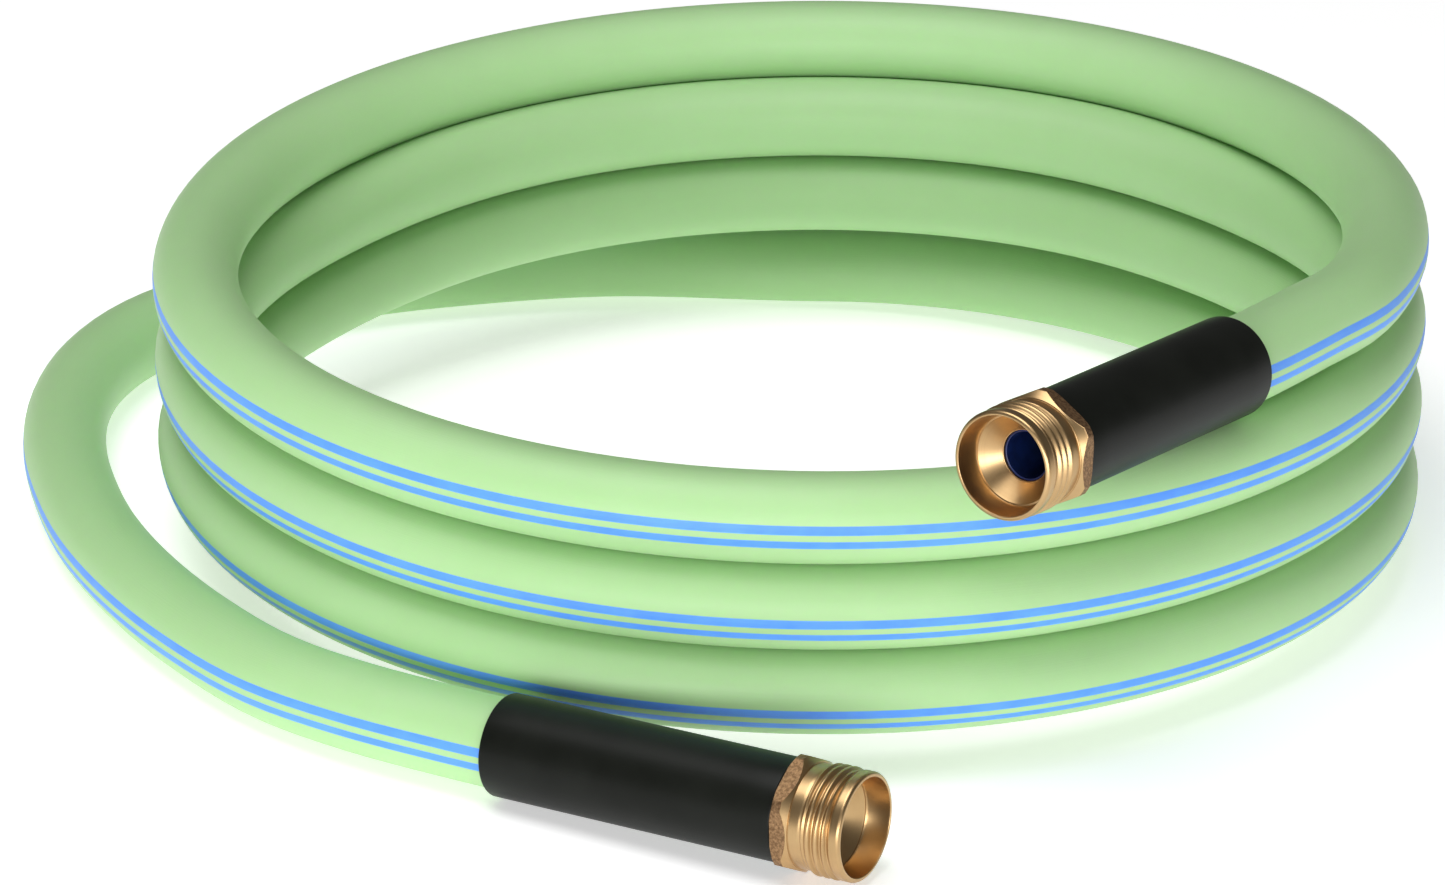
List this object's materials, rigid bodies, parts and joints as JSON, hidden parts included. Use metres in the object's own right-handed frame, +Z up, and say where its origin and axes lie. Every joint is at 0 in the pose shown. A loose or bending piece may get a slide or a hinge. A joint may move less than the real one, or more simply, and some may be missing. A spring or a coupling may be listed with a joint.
{
  "type": "garden hose",
  "caption": "Light green garden hose coiled in stacked turns, with a black sleeve and a brass male threaded coupling on each end.",
  "frame": {"origin": "middle of the footprint, on the floor that the coil lies on", "axes": "+Z up along the coil's axis, -Y towards the free end's coupling in front, +X to the right seen from the front"},
  "size_m": [0.3704, 0.395, 0.1102],
  "materials": {
    "hose": "satin light green polymer with two thin blue stripes along its outer side",
    "sleeve": "smooth satin black",
    "brass": "machined brass, with a rougher cast hexagon"
  },
  "bodies": {
    "root": {"hose_coil": "hose", "hose_top_turn": "hose", "hose_free_end": "hose", "sleeve_upper": "sleeve", "sleeve_free": "sleeve", "coupling_upper": "brass", "coupling_free": "brass"}
  },
  "joints": []
}
